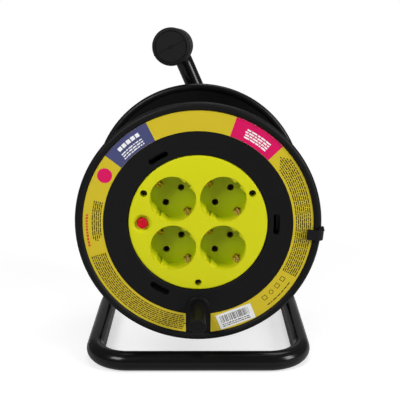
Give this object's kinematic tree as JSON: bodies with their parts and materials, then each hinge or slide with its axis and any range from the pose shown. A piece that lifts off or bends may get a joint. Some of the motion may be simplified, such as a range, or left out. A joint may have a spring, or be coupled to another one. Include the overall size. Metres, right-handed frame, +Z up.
{
  "type": "cable reel",
  "caption": "Extension cord reel: socket drum with a labelled flange, lime socket plate, winding knob and reset button, turning on a bent tube stand with a carry grip.",
  "frame": {"origin": "on the ground under the middle of the front floor bar, straight below the drum's axis", "axes": "+Z up, +Y from the socket face to the back, +X to the right as seen from the front"},
  "size_m": [0.2149, 0.2223, 0.2999],
  "materials": {
    "black_tube": "gloss black lacquer",
    "black_plastic": "satin black",
    "grip_plastic": "fine satin",
    "lime_plastic": "satin moulded",
    "label": "printed film",
    "red_button": "moulded",
    "brass": "stamped strip",
    "zinc_steel": "zinc plated",
    "grey_plastic": "moulded"
  },
  "bodies": {
    "stand": {"stand_tube": "black_tube", "tube_end_plug": "grip_plastic", "handle_grip": "grip_plastic", "axle_bracket": "black_tube", "bracket_rivet_1": "zinc_steel", "bracket_rivet_2": "zinc_steel", "bracket_rivet_3": "zinc_steel", "axle": "zinc_steel", "axle_rear_washer": "zinc_steel", "axle_nut": "zinc_steel", "thrust_washer": "zinc_steel", "axle_circlip": "zinc_steel"},
    "drum": {"front_flange": "black_plastic", "winding_core": "black_plastic", "rear_flange": "black_plastic", "rim_clip": "black_plastic", "hub_bush": "grey_plastic", "cable_inlet_bush": "grey_plastic", "contact_carrier": "grey_plastic", "carrier_cover": "grey_plastic", "breaker_case": "grey_plastic", "label_ring": "label", "socket_plate": "lime_plastic", "plate_screw_1": "zinc_steel", "plate_screw_2": "zinc_steel", "plate_screw_3": "zinc_steel", "core_screw_1": "zinc_steel", "core_screw_2": "zinc_steel", "core_screw_3": "zinc_steel", "core_screw_4": "zinc_steel", "carrier_screw": "zinc_steel", "button_spring": "zinc_steel", "knob_pin": "zinc_steel", "earth_contact_1": "brass", "earth_contact_2": "brass", "earth_contact_3": "brass", "earth_contact_4": "brass", "live_contact_bar": "brass", "neutral_contact_bar": "brass"},
    "knob": {"winding_knob": "black_plastic"},
    "button": {"reset_button": "red_button"}
  },
  "joints": [
    {"name": "drum_spin", "type": "hinge", "parent": "stand", "child": "drum", "pos_m": [0, 0.006, 0.135], "axis": [0, 1, 0], "continuous": true},
    {"name": "knob_spin", "type": "hinge", "parent": "drum", "child": "knob", "pos_m": [0, 0.006, 0.0584], "axis": [0, 1, 0], "continuous": true},
    {"name": "reset_press", "type": "slide", "parent": "drum", "child": "button", "axis": [0, 1, 0], "range_m": [0, 0.002], "stiffness_N_per_m": 600, "springref_m": -0.001}
  ]
}
